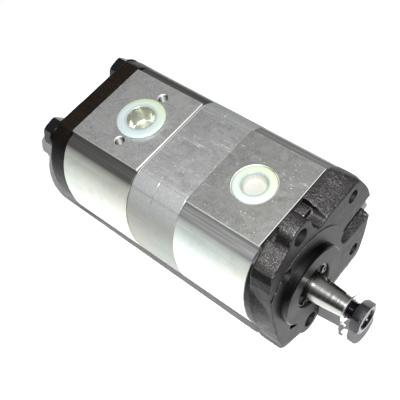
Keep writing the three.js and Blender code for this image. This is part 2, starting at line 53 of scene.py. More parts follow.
# ------------------------------------------------------------------ measures, in mm
GAP = 0.3  # clearance left between neighbours
HAIR = 0.03  # what shows of a tight joint
MID_Y, IDLER_Y = 16.5, 33.0  # middle of the pump, axis of the idler gears
PAD_Z, PAD_HALF = 44.0, 31.5  # height and half width of the port faces
SIDE_HALF, SIDE_B, SIDE_POWER = 52.6, 51.9, 2.3  # superellipse of the rounded sides

# joints along x, from the front cover to the end of the rear cover
X_COVER, X_FRONT, X_MID, X_REAR, X_BACK, X_END = -18.5, -73.0, -94.5, -112.5, -171.5, -185.0

# front cover
LUG_Y, LUG_Z, LUG_R, LUG_HOLE_R = -0.5, 50.0, 10.6, 5.7
SLOT_Y, SLOT_Z, SLOT_FLOOR_R, SLOT_HALF, SLOT_END_Y = 43.4, -1.4, 8.6, 10.8, 74
PILOT_R, PILOT_H = 27.0, 5.2
FACING_R = 38.0  # disc turned round the pilot
SEAL_BORE_R, SEAL_MOUTH_R, CIRCLIP_GROOVE_R = 15.4, 16.1, 16.6

# ports and their screw holes
FRONT_PORT_X, REAR_PORT_X = -46.4, -138.5
PORT_BORE_R, FRONT_SPOT_R, FRONT_SPOT_DEPTH = 10.4, 13.9, 1.6
PORT_SCREW_Y, TAP_R, TAP_PITCH, TAP_DEPTH = 20.8, 3.9, 1.25, 12

# fasteners; turns are in degrees round the x axis
HEX_FLATS = 18
BOLT_Y, BOLT_Z, BOLT_R, BOLT_HOLE_R, BOLT_MINOR_R = 32.0, 29.7, 4.8, 5.2, 4.5
WASHER_T, WASHER_R = 2.3, 11.5
BOSS_R, BOSS_SPOT_R = 12.2, 11.9
NUT_BACK, NUT_FRONT = 35.2, 41.7
NUT_TURN, HEAD_TURN, TAB_TURNS = 16, 12, (28, -146)

# drive line
KEYWAY_TURN, KEYWAY_END, KEYWAY_HALF, KEYWAY_FLOOR = -40, 22.9, 1.5, 5.4
THREAD_R, THREAD_PITCH, THREAD_DEPTH = 5.95, 1.5, 0.75
CHAMBER_R, PLATE_BORE_R = 19.65, 12.3
GEAR_SPAN = (-56.7, -35.3)
TEETH, MODULE, PRESSURE_ANGLE, BACKLASH = 12, 2.75, math.radians(27), 0.3

_axis_low, _axis_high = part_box("front_section_front_drive_bush")
ORIGIN = Vector((
    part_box("shaft_nut")[1].x - NUT_FRONT * MM,
    (_axis_low.y + _axis_high.y) / 2,
    (_axis_low.z + _axis_high.z) / 2,
))
TO_FRAME = Matrix.Translation(ORIGIN) @ Matrix.Scale(MM, 4)
BOLT_PLACES = [
    (MID_Y + sy * BOLT_Y, sz * BOLT_Z,
     f"{'upper' if sz > 0 else 'lower'}_{'drive' if sy < 0 else 'idler'}_side")
    for sy in (-1, 1) for sz in (-1, 1)
]


# ------------------------------------------------------------------ mesh tools
def new_object(bm, name="tool"):
    """A linked object made of bm, still in mm."""
    bmesh.ops.recalc_face_normals(bm, faces=bm.faces)
    mesh = bpy.data.meshes.new(name)
    bm.to_mesh(mesh)
    bm.free()
    obj = bpy.data.objects.new(name, mesh)
    bpy.context.scene.collection.objects.link(obj)
    return obj


def section(x, outline):
    """The (y, z) outline as a ring of points at x."""
    return [(x, y, z) for y, z in outline]


def loft(rings):
    """Closed solid through rings of points, capped at both ends."""
    bm = bmesh.new()
    rows = [[bm.verts.new(p) for p in ring] for ring in rings]
    count = len(rings[0])
    for a, b in zip(rows, rows[1:]):
        for i in range(count):
            j = (i + 1) % count
            bm.faces.new((a[i], a[j], b[j], b[i]))
    bm.faces.new(rows[0])
    bm.faces.new(rows[-1])
    return new_object(bm)


def inset(outline, distance):
    """The (y, z) outline moved inwards by distance."""
    if not distance:
        return list(outline)
    pts = np.array(outline, float)
    area = 0.5 * np.sum(pts[:, 0] * np.roll(pts[:, 1], -1) - np.roll(pts[:, 0], -1) * pts[:, 1])
    turn = 1.0 if area > 0 else -1.0
    after = np.roll(pts, -1, 0) - pts
    after /= np.linalg.norm(after, axis=1)[:, None] + 1e-12
    normals = np.stack([-after[:, 1], after[:, 0]], 1) * turn
    both = normals + np.roll(normals, 1, 0)
    both /= np.linalg.norm(both, axis=1)[:, None] + 1e-12
    reach = distance / np.clip(np.sum(both * normals, 1), 0.5, 1.0)
    return [tuple(p) for p in pts + both * reach[:, None]]


def zone_inset(outline, cuts):
    """Outline inset by cuts = (port face, shoulder, side) according to where each point lies."""
    near = [inset(outline, distance) for distance in cuts]
    result = []
    for i, (y, z) in enumerate(outline):
        zone = 0 if abs(z) > PAD_Z - 0.7 else 1 if abs(z) > 34 and abs(y - MID_Y) > 30 else 2
        result.append(near[zone][i])
    return result


def plate_prism(outline, ends):
    """Prism along x between two ends, each (x, chamfers of the zones, their length along x)."""
    (x0, cuts0, deep0), (x1, cuts1, deep1) = ends
    whole = (x0 + deep0, x0 + deep0 + 0.3, x1 - deep1 - 0.3, x1 - deep1)
    return loft([section(x0, zone_inset(outline, cuts0))]
                + [section(x, outline) for x in whole]
                + [section(x1, zone_inset(outline, cuts1))])


def prism(outline, x0, x1, chamfer=0.0):
    """Prism along x with optional chamfers at its two ends."""
    rings = [section(x, outline) for x in (x0 + chamfer, x1 - chamfer)]
    if chamfer:
        small = inset(outline, chamfer)
        rings = [section(x0, small), *rings, section(x1, small)]
    return loft(rings)


def turned(profile, centre=(0.0, 0.0), axis="x", segments=96):
    """Solid of revolution; profile is (position along the axis, radius) pairs."""
    closed = profile[0][1] > 0 and profile[-1][1] > 0
    bm = bmesh.new()
    angles = [2 * math.pi * i / segments for i in range(segments)]

    def place(along, u, v):
        if axis == "x":
            return (along, centre[0] + u, centre[1] + v)
        return (centre[0] + u, centre[1] + v, along)

    rows = []
    for along, radius in profile:
        if radius <= 1e-9:
            rows.append([bm.verts.new(place(along, 0, 0))])
        else:
            rows.append([bm.verts.new(place(along, radius * math.cos(a), radius * math.sin(a)))
                         for a in angles])
    pairs = list(zip(rows, rows[1:]))
    if closed:
        pairs.append((rows[-1], rows[0]))
    for a, b in pairs:
        for i in range(segments):
            j = (i + 1) % segments
            if len(a) == 1 and len(b) == 1:
                continue
            if len(a) == 1:
                bm.faces.new((a[0], b[j], b[i]))
            elif len(b) == 1:
                bm.faces.new((a[i], a[j], b[0]))
            else:
                bm.faces.new((a[i], a[j], b[j], b[i]))
    return new_object(bm)


def rod(x0, x1, radius, centre=(0.0, 0.0), segments=64, axis="x"):
    return turned([(x0, 0), (x0, radius), (x1, radius), (x1, 0)], centre, axis, segments)


def block(x0, x1, y0, y1, z0, z1):
    return prism([(y0, z0), (y1, z0), (y1, z1), (y0, z1)], x0, x1)


def slab(x0, x1):
    """Block wider and higher than the whole pump."""
    return block(x0, x1, -80, 120, -90, 90)


def settle(obj):
    """Applies obj's modifiers."""
    graph = bpy.context.evaluated_depsgraph_get()
    graph.update()
    mesh = bpy.data.meshes.new_from_object(obj.evaluated_get(graph))
    old = obj.data
    obj.modifiers.clear()
    obj.data = mesh
    bpy.data.meshes.remove(old)
    return obj


def discard(*objs):
    for obj in objs:
        mesh = obj.data
        bpy.data.objects.remove(obj)
        if mesh.users == 0:
            bpy.data.meshes.remove(mesh)


def combine(base, operation, *tools):
    """Boolean of base with every tool; the tools are used up."""
    for tool in tools:
        mod = base.modifiers.new("bool", "BOOLEAN")
        mod.operation = operation
        mod.solver = "MANIFOLD"
        mod.object = tool
    settle(base)
    discard(*tools)
    return base


def cut(base, *tools):
    return combine(base, "DIFFERENCE", *tools)


def join(base, *tools):
    return combine(base, "UNION", *tools)


def meet(base, *tools):
    return combine(base, "INTERSECT", *tools)


def mirror_z(obj):
    """A copy of obj mirrored from the upper to the lower side."""
    mesh = obj.data.copy()
    mesh.transform(Matrix.Scale(-1, 4, (0, 0, 1)))
    mesh.flip_normals()
    twin = bpy.data.objects.new(obj.name, mesh)
    bpy.context.scene.collection.objects.link(twin)
    return twin


def both_sides(*objs):
    return [*objs, *[mirror_z(o) for o in objs]]


def bevel(obj, width, angle=35, segments=2):
    mod = obj.modifiers.new("bevel", "BEVEL")
    mod.width = width
    mod.segments = segments
    mod.limit_method = "ANGLE"
    mod.angle_limit = math.radians(angle)
    mod.use_clamp_overlap = True
    return settle(obj)


def cast_skin(obj, voxel, rounding, lumps):
    """Rounds every edge and gives the surface the slight unevenness of a sand casting."""
    mod = obj.modifiers.new("remesh", "REMESH")
    mod.mode = "VOXEL"
    mod.voxel_size = voxel
    mod.adaptivity = 0
    settle(obj)
    smooth = obj.modifiers.new("smooth", "SMOOTH")
    smooth.factor = 0.5
    smooth.iterations = rounding
    settle(obj)
    for scale, strength in lumps:
        texture = bpy.data.textures.new("lumps", "CLOUDS")
        texture.noise_scale = scale
        texture.noise_depth = 2
        mod = obj.modifiers.new("lumps", "DISPLACE")
        mod.texture = texture
        mod.texture_coords = "LOCAL"
        mod.strength = strength
        mod.mid_level = 0.5
    return settle(obj)


def piece(obj, name, body, material, nodes=(), angle=32):
    """Finishes obj as a piece of the pump: into the frame, shaded, riding on body."""
    obj.name = name
    obj.data.name = name
    obj.data.transform(TO_FRAME)
    obj.data.materials.clear()
    obj.data.materials.append(material)
    for poly in obj.data.polygons:
        poly.use_smooth = True
        poly.material_index = 0
    obj.data.set_sharp_from_angle(angle=math.radians(angle))
    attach(obj, body)
    if nodes:
        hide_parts(*nodes)


def thread(x0, x1, radius, pitch, depth, segments=48, rows_per_pitch=6):
    """Screw thread as a solid rod whose surface follows a V-shaped helix."""
    bm = bmesh.new()
    rows = []
    count = int((x1 - x0) / pitch * rows_per_pitch)
    for i in range(count + 1):
        x = x0 + (x1 - x0) * i / count
        row = []
        for j in range(segments):
            a = 2 * math.pi * j / segments
            phase = ((x - x0) / pitch - j / segments) % 1.0
            wave = 1 - abs(2 * phase - 1)
            wave = min(1.0, max(0.0, (wave - 0.08) / 0.8))
            end = min(1.0, (x1 - x) / (pitch * 0.8))
            r = radius - depth * (1 - wave) - (1 - end) * depth
            row.append(bm.verts.new((x, r * math.cos(a), r * math.sin(a))))
        rows.append(row)
    for a, b in zip(rows, rows[1:]):
        for i in range(segments):
            j = (i + 1) % segments
            bm.faces.new((a[i], a[j], b[j], b[i]))
    bm.faces.new(rows[0])
    bm.faces.new(rows[-1])
    return new_object(bm)


# ------------------------------------------------------------------ outlines in (y, z)
def side_at(z):
    """Half width of the rounded side at height z."""
    return SIDE_HALF * (1 - (abs(z) / SIDE_B) ** SIDE_POWER) ** (1 / SIDE_POWER)


def fourfold(quarter):
    """Closed outline from one quarter of it, given as (distance from the middle, z) points."""
    right = [(u, -z) for u, z in reversed(quarter)] + list(quarter[1:])
    left = [(-u, -z) for u, z in right]
    return [(MID_Y + u, z) for u, z in right + left]


def side_curve(top, steps):
    points = []
    for i in range(steps + 1):
        z = top * math.sin(math.pi / 2 * i / steps)
        points.append((side_at(z), z))
    return points


def arc(centre, radius, start, end, steps):
    """Points on an arc, angles in degrees."""
    angles = [math.radians(start + (end - start) * i / steps) for i in range(steps + 1)]
    return [(centre[0] + radius * math.cos(a), centre[1] + radius * math.sin(a)) for a in angles]


def body_outline():
    """Section of a gear body: rounded side, sloping ledge, port face standing above it."""
    rim = side_curve(38.4, 26)
    ledge = [(37.9, 39.1), (36.6, 39.8), (35.0, 40.3)]
    corner = arc((34.0, 42.2), 1.9, 270, 190, 6)
    edge = [
        (PAD_HALF + 0.25, PAD_Z - 1.0), (PAD_HALF + 0.1, PAD_Z - 0.35), (PAD_HALF - 0.2, PAD_Z)]
    return fourfold(rim + ledge + corner + edge)


def plate_outline():
    """Section of a middle plate: the channel is missing and its shoulder is sloped."""
    rim = side_curve(37.6, 26)
    return fourfold(rim + [
        (39.0, 38.6), (37.2, 40.1), (34.0, 42.0), (31.5, 43.2), (29.6, 43.8), (27.5, 44.0)])


def cover_outline(top=PAD_Z - 0.5):
    return fourfold(side_curve(top, 28))


FLANGE_HALF = [
    (-32.3, 0), (-32.2, 10), (-32, 20), (-31.3, 31), (-29.8, 38.4), (-27.4, 42.8), (-23, 45.9),
    (-17.3, 49), (-13.6, 50.8), (-11.2, 52.6),
]
EAR_HALF = [
    (10.9, 47.2), (11.8, 44.4), (13.4, 42.0), (16.8, 40.4), (22, 40.0), (50, 39.8), (52.6, 39.2),
    (55.0, 37.6), (57.4, 34.5), (61.6, 26.5), (65, 18), (66.6, 12), (67.2, 9.5),
]


def mirrored_outline(upper):
    lower = [(y, -z) for y, z in reversed(upper) if z > 1e-6]
    return list(upper) + lower


def flange_outline():
    lug = arc((LUG_Y, LUG_Z), LUG_R, 163, 2, 22)
    return mirrored_outline(FLANGE_HALF + lug + EAR_HALF)


def ear_outline():
    return mirrored_outline([(10, 43.8), (12, 43.0), *EAR_HALF[3:]])


def slot_outline():
    return arc((SLOT_Y, SLOT_Z), SLOT_FLOOR_R, 90, 270, 20) + [
        (SLOT_END_Y, SLOT_Z - SLOT_HALF), (SLOT_END_Y, SLOT_Z + SLOT_HALF)]


def hexagon(across_flats, turn):
    """Corners of a hexagon; turn is in degrees."""
    radius = across_flats / math.sqrt(3)
    angles = [math.radians(turn) + i * math.pi / 3 for i in range(6)]
    return [(radius * math.cos(a), radius * math.sin(a)) for a in angles]


def gear_outline():
    """Involute teeth, the first one on the y axis."""
    pitch = MODULE * TEETH / 2
    base = pitch * math.cos(PRESSURE_ANGLE)
    tip, root = pitch + MODULE, pitch - 1.22 * MODULE
    half_pitch = math.pi / (2 * TEETH) - BACKLASH / (2 * pitch)

    def involute(a):
        return math.tan(a) - a

    def half(r):
        return half_pitch + involute(PRESSURE_ANGLE) - involute(math.acos(min(1, base / r)))

    flank = [base + (tip - 0.1 - base) * i / 7 for i in range(8)]
    side = [(root, half(base) + 0.03)] + [(r, half(r)) for r in flank]
    points = []
    for tooth in range(TEETH):
        middle = tooth * 2 * math.pi / TEETH
        for r, a in [(r, -a) for r, a in side] + side[::-1]:
            points.append((r * math.cos(middle + a), r * math.sin(middle + a)))
    return points


# ------------------------------------------------------------------ material tools
class Tree:
    """Short names for building a shader tree."""

    def __init__(self, mat):
        self.nodes, self.links = mat.node_tree.nodes, mat.node_tree.links
        self.coords = self.nodes.new("ShaderNodeTexCoord").outputs["Object"]

    def put(self, kind, inputs=None, **settings):
        node = self.nodes.new(kind)
        for key, value in settings.items():
            setattr(node, key, value)
        for key, value in (inputs or {}).items():
            socket = node.inputs[key]
            if isinstance(value, bpy.types.NodeSocket):
                self.links.new(value, socket)
            else:
                socket.default_value = value
        return node

    def pump_place(self):
        """Outputs X, Y, Z of the place in mm in the pump's axes."""
        offset = self.put(
            "ShaderNodeVectorMath", {0: self.coords, 1: tuple(ORIGIN)}, operation="SUBTRACT"
        ).outputs[0]
        scaled_up = self.put(
            "ShaderNodeVectorMath", {0: offset, "Scale": 1 / MM}, operation="SCALE").outputs[0]
        return self.put("ShaderNodeSeparateXYZ", {0: scaled_up}).outputs

    def stretched(self, scale, rotation=(0, 0, 0)):
        return self.put(
            "ShaderNodeMapping", {"Vector": self.coords, "Scale": scale, "Rotation": rotation}
        ).outputs[0]

    def noise(self, scale, detail=4, rough=0.55, vector=None, distortion=0.0):
        return self.put("ShaderNodeTexNoise", {
            "Vector": vector or self.coords, "Scale": scale, "Detail": detail,
            "Roughness": rough, "Distortion": distortion,
        }).outputs["Fac"]

    def span(self, value, low, high, to_low=0.0, to_high=1.0):
        return self.put("ShaderNodeMapRange", {
            "Value": value, "From Min": low, "From Max": high, "To Min": to_low, "To Max": to_high,
        }).outputs[0]

    def maths(self, operation, a, b=0.0):
        return self.put("ShaderNodeMath", {0: a, 1: b}, operation=operation).outputs[0]

    def blend(self, factor, a, b):
        """Number between a and b."""
        return self.put(
            "ShaderNodeMix", {0: factor, 2: a, 3: b}, data_type="FLOAT").outputs[0]

    def mix(self, factor, a, b):
        """Colour between a and b."""
        node = self.put("ShaderNodeMix", data_type="RGBA")
        for key, value in ((0, factor), (6, a), (7, b)):
            if isinstance(value, bpy.types.NodeSocket):
                self.links.new(value, node.inputs[key])
            elif key == 0:
                node.inputs[key].default_value = value
            else:
                node.inputs[key].default_value = (*value, 1)
        return node.outputs[2]

    def bump(self, height, strength, distance):
        return self.put(
            "ShaderNodeBump", {"Height": height, "Strength": strength, "Distance": distance}
        ).outputs[0]


def tree_for(name, colour, rough, metal):
    """A new material, its Tree and its shader node."""
    mat = bpy.data.materials.new(name)
    mat.use_nodes = True
    shader = mat.node_tree.nodes["Principled BSDF"]
    shader.inputs["Base Color"].default_value = (*colour, 1)
    shader.inputs["Roughness"].default_value = rough
    shader.inputs["Metallic"].default_value = metal
    return mat, Tree(mat), shader


def set_shader(mat, socket, value):
    """Sets a constant on a finished material's shader."""
    mat.node_tree.nodes["Principled BSDF"].inputs[socket].default_value = value


def times(colour, factor):
    return tuple(c * factor for c in colour)


def scratches(t, angle, density=0.7):
    """Mask of fine straight scratches running at an angle in the horizontal plane."""
    along = t.stretched((38, 1300, 38), (0, 0, math.radians(angle)))
    line = t.noise(1.0, 3, 0.5, along, 0.3)
    return t.span(line, density, density + 0.06)


def aluminium_body(name, side, top, side_rough, top_rough, speckle, band_tone, shoulder=None):
    """Drawn side with streaks, milled port face with scuffs, and a band between them painted dark,
    as darker oxide and as painted shade of the ledge.

    speckle is how strongly the face is mottled, band_tone the grey of the band's oxide and
    painted shade, and shoulder the matte colour of a middle plate's sloping shoulder.
    """
    mat, t, shader = tree_for(name, side, side_rough, 1.0)
    streaks = t.noise(900, 3, 0.6, t.stretched((0.02, 1, 1)))
    blotch = t.noise(38, 5, 0.6, distortion=0.4)
    cloud = t.noise(95, 4, 0.65, distortion=1.2)
    grain = t.noise(1500, 4, 0.75)
    speck = t.span(t.noise(950, 2, 0.5), 0.69, 0.73)
    marks = t.maths("MAXIMUM", scratches(t, 62, 0.66), scratches(t, -25, 0.69))
    face = t.put(
        "ShaderNodeSeparateXYZ", {0: t.put("ShaderNodeNewGeometry").outputs["True Normal"]}
    ).outputs
    normal_x, normal_z = (t.maths("ABSOLUTE", face[axis]) for axis in "XZ")
    # masks: port face, painted shade inside its holes, end chamfers, band beside the face
    place = t.pump_place()
    across = t.maths("ABSOLUTE", t.maths("SUBTRACT", place["Y"], MID_Y))
    above = t.maths("ABSOLUTE", place["Z"])
    pad = t.maths(
        "MULTIPLY", t.span(normal_z, 0.985, 0.999), t.span(above, PAD_Z - 0.6, PAD_Z - 0.3))
    # inside the port and screw holes, where the colour is painted darker as shade
    hole_interior_shade = t.maths(
        "MULTIPLY", t.span(across, 30.4, 30.0), t.span(above, PAD_Z - 0.2, PAD_Z - 0.5))
    chamfer = t.maths("MULTIPLY", t.span(normal_x, 0.2, 0.3), t.span(normal_x, 0.95, 0.9))
    chamfer = t.maths("MULTIPLY", chamfer, t.span(above, PAD_Z - 1.4, PAD_Z - 1.2))
    # band on the ledge beside the face: darker oxide with painted shade under the face's wall
    band = t.maths(
        "MULTIPLY", t.span(above, 32.5, 38.2), t.span(above, PAD_Z - 0.5, PAD_Z - 1.0))
    band = t.maths("MULTIPLY", band, t.span(across, 30.6, 31.0))

    green = (side[0] * 0.93, side[1], side[2] * 0.98)
    warm = (side[0], side[1] * 0.99, side[2] * 0.92)
    side_colour = t.mix(t.span(blotch, 0.38, 0.62), green, warm)
    side_colour = t.mix(t.span(cloud, 0.45, 0.7, 0.0, 0.6), side_colour, times(side, 0.84))
    band_oxide_and_shade = t.mix(
        t.span(streaks, 0.35, 0.65), (band_tone * 0.5, band_tone * 0.5, band_tone * 0.48),
        (band_tone, band_tone, band_tone))
    side_colour = t.mix(t.maths("MULTIPLY", band, 0.97), side_colour, band_oxide_and_shade)
    mottle = t.noise(720, 4, 0.8)
    hole_interior_shade = t.maths("MULTIPLY", hole_interior_shade, t.maths("SUBTRACT", 1.0, chamfer))
    dark_top = times(top, 1 - 0.5 * speckle)
    top_colour = t.mix(t.span(mottle, 0.36, 0.64), dark_top, top)
    top_colour = t.mix(t.span(cloud, 0.42, 0.66, 0.0, 0.8), top_colour, times(top, 0.82))
    pits = t.maths("MULTIPLY", t.span(t.noise(620, 2, 0.5), 0.27, 0.24), 0.7)
    top_colour = t.mix(pits, top_colour, times(top, 0.25))
    scuffs = t.maths("MULTIPLY", marks, t.span(cloud, 0.42, 0.62, 0.25, 1.0))
    bright = t.maths("MAXIMUM", speck, scuffs)
    bright = t.maths("MAXIMUM", bright, t.span(mottle, 0.66, 0.74, 0.0, 0.8))
    top_colour = t.mix(bright, top_colour, (0.98, 0.98, 0.98))
    matte = t.maths(
        "MAXIMUM", t.maths("MULTIPLY", chamfer, 0.75), t.maths("MULTIPLY", band, 0.6))
    if shoulder:
        lit = t.maths("MULTIPLY", t.span(normal_z, 0.35, 0.62), t.span(normal_z, 0.9965, 0.99))
        pad = t.maths("MULTIPLY", pad, t.maths("SUBTRACT", 1.0, lit))
        scuffed = t.mix(t.span(mottle, 0.4, 0.62), times(shoulder, 0.8), shoulder)
        scuffed = t.mix(t.span(mottle, 0.68, 0.76, 0.0, 0.7), scuffed, (0.95, 0.95, 0.95))
        side_colour = t.mix(lit, side_colour, scuffed)
        matte = t.maths("MAXIMUM", matte, t.maths("MULTIPLY", lit, 0.85))
    t.links.new(t.maths("SUBTRACT", 1.0, matte), shader.inputs["Metallic"])
    colour = t.mix(pad, side_colour, top_colour)
    colour = t.mix(chamfer, colour, (0.45, 0.45, 0.44))
    # the insides of the holes painted dark: painted shade
    t.links.new(t.mix(hole_interior_shade, colour, times(side, 0.2)), shader.inputs["Base Color"])

    side_r = t.span(streaks, 0.3, 0.7, side_rough - 0.07, side_rough + 0.07)
    top_r = t.span(cloud, 0.3, 0.7, top_rough - 0.06, top_rough + 0.06)
    t.links.new(t.blend(pad, side_r, top_r), shader.inputs["Roughness"])

    flat_height = t.maths("ADD", grain, t.maths("MULTIPLY", t.maths("ADD", speck, marks), 0.5))
    side_height = t.maths(
        "ADD", t.maths("MULTIPLY", streaks, 0.7), t.maths("MULTIPLY", grain, 0.3))
    height = t.blend(pad, side_height, flat_height)
    t.links.new(t.bump(height, 0.42, 0.0002), shader.inputs["Normal"])
    return mat


def cast_iron(name, dark, light, rough, metal, worn, sandy=1.0):
    """Cast skin with sandy patches and worn edges, painted lighter on faces that look up and
    darker on the sides as painted light and shade; what faces or rings the shaft is machined.
    """
    mat, t, shader = tree_for(name, dark, rough, metal)
    grain = t.noise(1150, 4, 0.8)
    pit = t.noise(800, 3, 0.7)
    broad = t.noise(48, 4, 0.55)
    drawn = t.noise(500, 3, 0.6, t.stretched((0.12, 1, 1)))
    geometry = t.put("ShaderNodeNewGeometry").outputs
    normal = t.put("ShaderNodeSeparateXYZ", {0: geometry["Normal"]}).outputs
    place = t.pump_place()
    machined = t.maths(
        "MULTIPLY", t.span(normal["X"], 0.985, 0.998), t.span(place["X"], -1.5, -1.0))
    radius = t.maths(
        "SQRT",
        t.maths("ADD", t.maths("POWER", place["Y"], 2.0), t.maths("POWER", place["Z"], 2.0)))
    disc = t.span(radius, FACING_R + 0.1, FACING_R - 0.1)
    # faces that look up take lighter grain: real grain with painted top light
    upward = t.span(t.maths("ABSOLUTE", normal["Z"]), 0.75, 0.95, 0.25, 1.0)
    sand_and_top_light = t.maths("MULTIPLY", upward, t.span(broad, 0.4, 0.6, 0.35, 1.0))
    edge = t.maths("MULTIPLY", t.span(geometry["Pointiness"], 0.53, 0.58), t.span(pit, 0.5, 0.6))
    edge = t.maths("MULTIPLY", edge, t.maths("SUBTRACT", 1.0, machined))
    # faces that do not look up are painted nearly black: painted shade on the sides
    flank = t.mix(t.span(drawn, 0.35, 0.65), times(dark, 0.03), times(dark, 0.08))
    colour = t.mix(
        t.span(drawn, 0.35, 0.65), dark, tuple((a + b) / 2 for a, b in zip(dark, light)))
    colour = t.mix(t.span(t.maths("ABSOLUTE", normal["Z"]), 0.55, 0.9), flank, colour)
    colour = t.mix(t.maths("MULTIPLY", sand_and_top_light, t.span(grain, 0.5, 0.62)), colour, times(light, 2.2))
    colour = t.mix(t.maths("MULTIPLY", sand_and_top_light, t.span(pit, 0.5, 0.36)), colour, times(dark, 0.4))
    faced = t.mix(t.span(broad, 0.35, 0.65), times(light, 0.11), times(light, 0.17))
    faced = t.mix(t.span(grain, 0.5, 0.7, 0.0, 0.15), faced, times(light, 0.6))
    faced = t.mix(t.maths("MULTIPLY", disc, 0.8), faced, times(light, 0.3))
    colour = t.mix(machined, colour, faced)
    colour = t.mix(edge, colour, worn)
    t.links.new(colour, shader.inputs["Base Color"])
    t.links.new(t.span(grain, 0.3, 0.7, rough + 0.08, rough - 0.08), shader.inputs["Roughness"])
    height = t.maths("ADD", t.maths("MULTIPLY", grain, 0.7), pit)
    relief = t.maths(
        "MULTIPLY", height, t.maths("MULTIPLY", t.span(machined, 0.0, 1.0, 1.0, 0.03), sand_and_top_light))
    t.links.new(
        t.bump(t.maths("ADD", relief, t.maths("MULTIPLY", drawn, 0.06)), sandy, 0.0006),
        shader.inputs["Normal"])
    return mat


def turned_steel(name, tint, rough, strength=0.2):
    """Ground or turned steel: fine rings round the x axis."""
    mat, t, shader = tree_for(name, tint, rough, 1.0)
    rings = t.noise(1500, 2, 0.5, t.stretched((1, 0.03, 0.03)))
    stain = t.noise(70, 4, 0.6)
    t.links.new(
        t.mix(t.span(stain, 0.35, 0.7), tint, times(tint, 0.82)), shader.inputs["Base Color"])
    t.links.new(t.span(rings, 0.3, 0.7, rough - 0.06, rough + 0.08), shader.inputs["Roughness"])
    t.links.new(t.bump(rings, strength, 0.0001), shader.inputs["Normal"])
    return mat


def dark_metal(name, tint, rough, metal=0.8):
    """Blackened or phosphated steel with slight unevenness."""
    mat, t, shader = tree_for(name, tint, rough, metal)
    patch = t.noise(160, 5, 0.6)
    fine = t.noise(1400, 3, 0.6)
    t.links.new(
        t.mix(t.span(patch, 0.35, 0.7), tint, times(tint, 1.7)), shader.inputs["Base Color"])
    t.links.new(t.span(patch, 0.3, 0.7, rough - 0.07, rough + 0.1), shader.inputs["Roughness"])
    t.links.new(t.bump(fine, 0.2, 0.0001), shader.inputs["Normal"])
    return mat


def rubber(name):
    """Black rubber, slightly uneven."""
    mat, t, shader = tree_for(name, (0.012, 0.012, 0.013), 0.5, 0.0)
    fine = t.noise(1300, 4, 0.6)
    t.links.new(
        t.mix(t.span(fine, 0.3, 0.7), (0.009, 0.009, 0.01), (0.02, 0.02, 0.021)),
        shader.inputs["Base Color"])
    t.links.new(t.span(fine, 0.3, 0.7, 0.42, 0.6), shader.inputs["Roughness"])
    t.links.new(t.bump(fine, 0.15, 0.0001), shader.inputs["Normal"])
    return mat


def milky_plastic(name, tint, port_x, cup_r, cup_tint, see_through):
    """Milky rim; within cup_r of the port's axis the cup shows the tint of what is behind it, with
    a painted reflection streak and painted glint spots as strong as see_through.
    """
    mat, t, shader = tree_for(name, tint, 0.3, 0.0)
    soft = t.noise(120, 3, 0.5)
    axis = TO_FRAME @ Vector((port_x, MID_Y, 0))
    offset = t.put(
        "ShaderNodeVectorMath", {0: t.coords, 1: tuple(axis)}, operation="SUBTRACT").outputs[0]
    flat = t.put(
        "ShaderNodeVectorMath", {0: offset, 1: (1, 1, 0)}, operation="MULTIPLY").outputs[0]
    radius = t.put("ShaderNodeVectorMath", {0: flat}, operation="LENGTH").outputs["Value"]
    cup = t.span(radius, cup_r * MM, (cup_r - 0.35) * MM)
    # spot: painted glint spots on the cup; the streak: a painted reflection down the bore wall
    spot = t.noise(520, 3, 0.6)
    wall_glint_streak = t.noise(330, 2, 0.5, t.stretched((1, 1, 0.05)))
    rim = t.mix(t.span(soft, 0.35, 0.65), tint, times(tint, 0.93))
    far_side = t.span(t.pump_place()["Y"], MID_Y - 6, MID_Y + 14)
    rim = t.mix(far_side, rim, (tint[0] * 1.04, tint[1] * 1.0, tint[2] * 0.74))
    lip = t.span(radius, (cup_r + 1.9) * MM, (cup_r + 0.9) * MM)
    rim = t.mix(lip, rim, times(tint, 0.72))
    inner = t.mix(t.span(wall_glint_streak, 0.4, 0.62, 0.0, see_through), times(cup_tint, 0.8),
                  tuple(min(1, c * 1.3) for c in cup_tint))
    inner = t.mix(
        t.span(spot, 0.6, 0.68, 0.0, see_through), inner, tuple(min(1, c * 1.8) for c in cup_tint))
    t.links.new(t.mix(cup, rim, inner), shader.inputs["Base Color"])
    t.links.new(t.maths("MULTIPLY", cup, see_through), shader.inputs["Metallic"])
    t.links.new(t.span(soft, 0.3, 0.7, 0.24, 0.36), shader.inputs["Roughness"])
    height = t.maths(
        "ADD", t.maths("MULTIPLY", soft, 0.3),
        t.maths("MULTIPLY", t.maths("MULTIPLY", spot, cup), 0.8 * see_through))
    t.links.new(t.bump(height, 0.2, 0.0004), shader.inputs["Normal"])
    shader.inputs["Subsurface Weight"].default_value = 0.15
    shader.inputs["Subsurface Radius"].default_value = (0.6, 1.0, 0.7)
    shader.inputs["Subsurface Scale"].default_value = 0.002
    return mat


IRON = cast_iron(
    "front_iron", (0.036, 0.0335, 0.0335), (0.062, 0.0605, 0.0595), 0.48, 0.75, (0.36, 0.36, 0.34))
REAR_IRON = cast_iron(
    "rear_iron", (0.004, 0.0026, 0.0017), (0.012, 0.0078, 0.0052), 0.38, 0.0, (0.03, 0.026, 0.02),
    0.5)
FRONT_BODY = aluminium_body(
    "front_body_aluminium", (0.75, 0.775, 0.75), (0.6, 0.605, 0.572), 0.52, 0.4, 0.65, 0.13)
REAR_BODY = aluminium_body(
    "rear_body_aluminium", (0.68, 0.69, 0.655), (0.86, 0.86, 0.84), 0.52, 0.4, 0.8, 0.036)
PLATE = aluminium_body(
    "plate_aluminium", (0.33, 0.33, 0.315), (0.62, 0.615, 0.62), 0.52, 0.5, 0.6, 0.2,
    (0.235, 0.24, 0.24))
STEEL = turned_steel("ground_steel", (0.36, 0.357, 0.343), 0.2, 0.3)
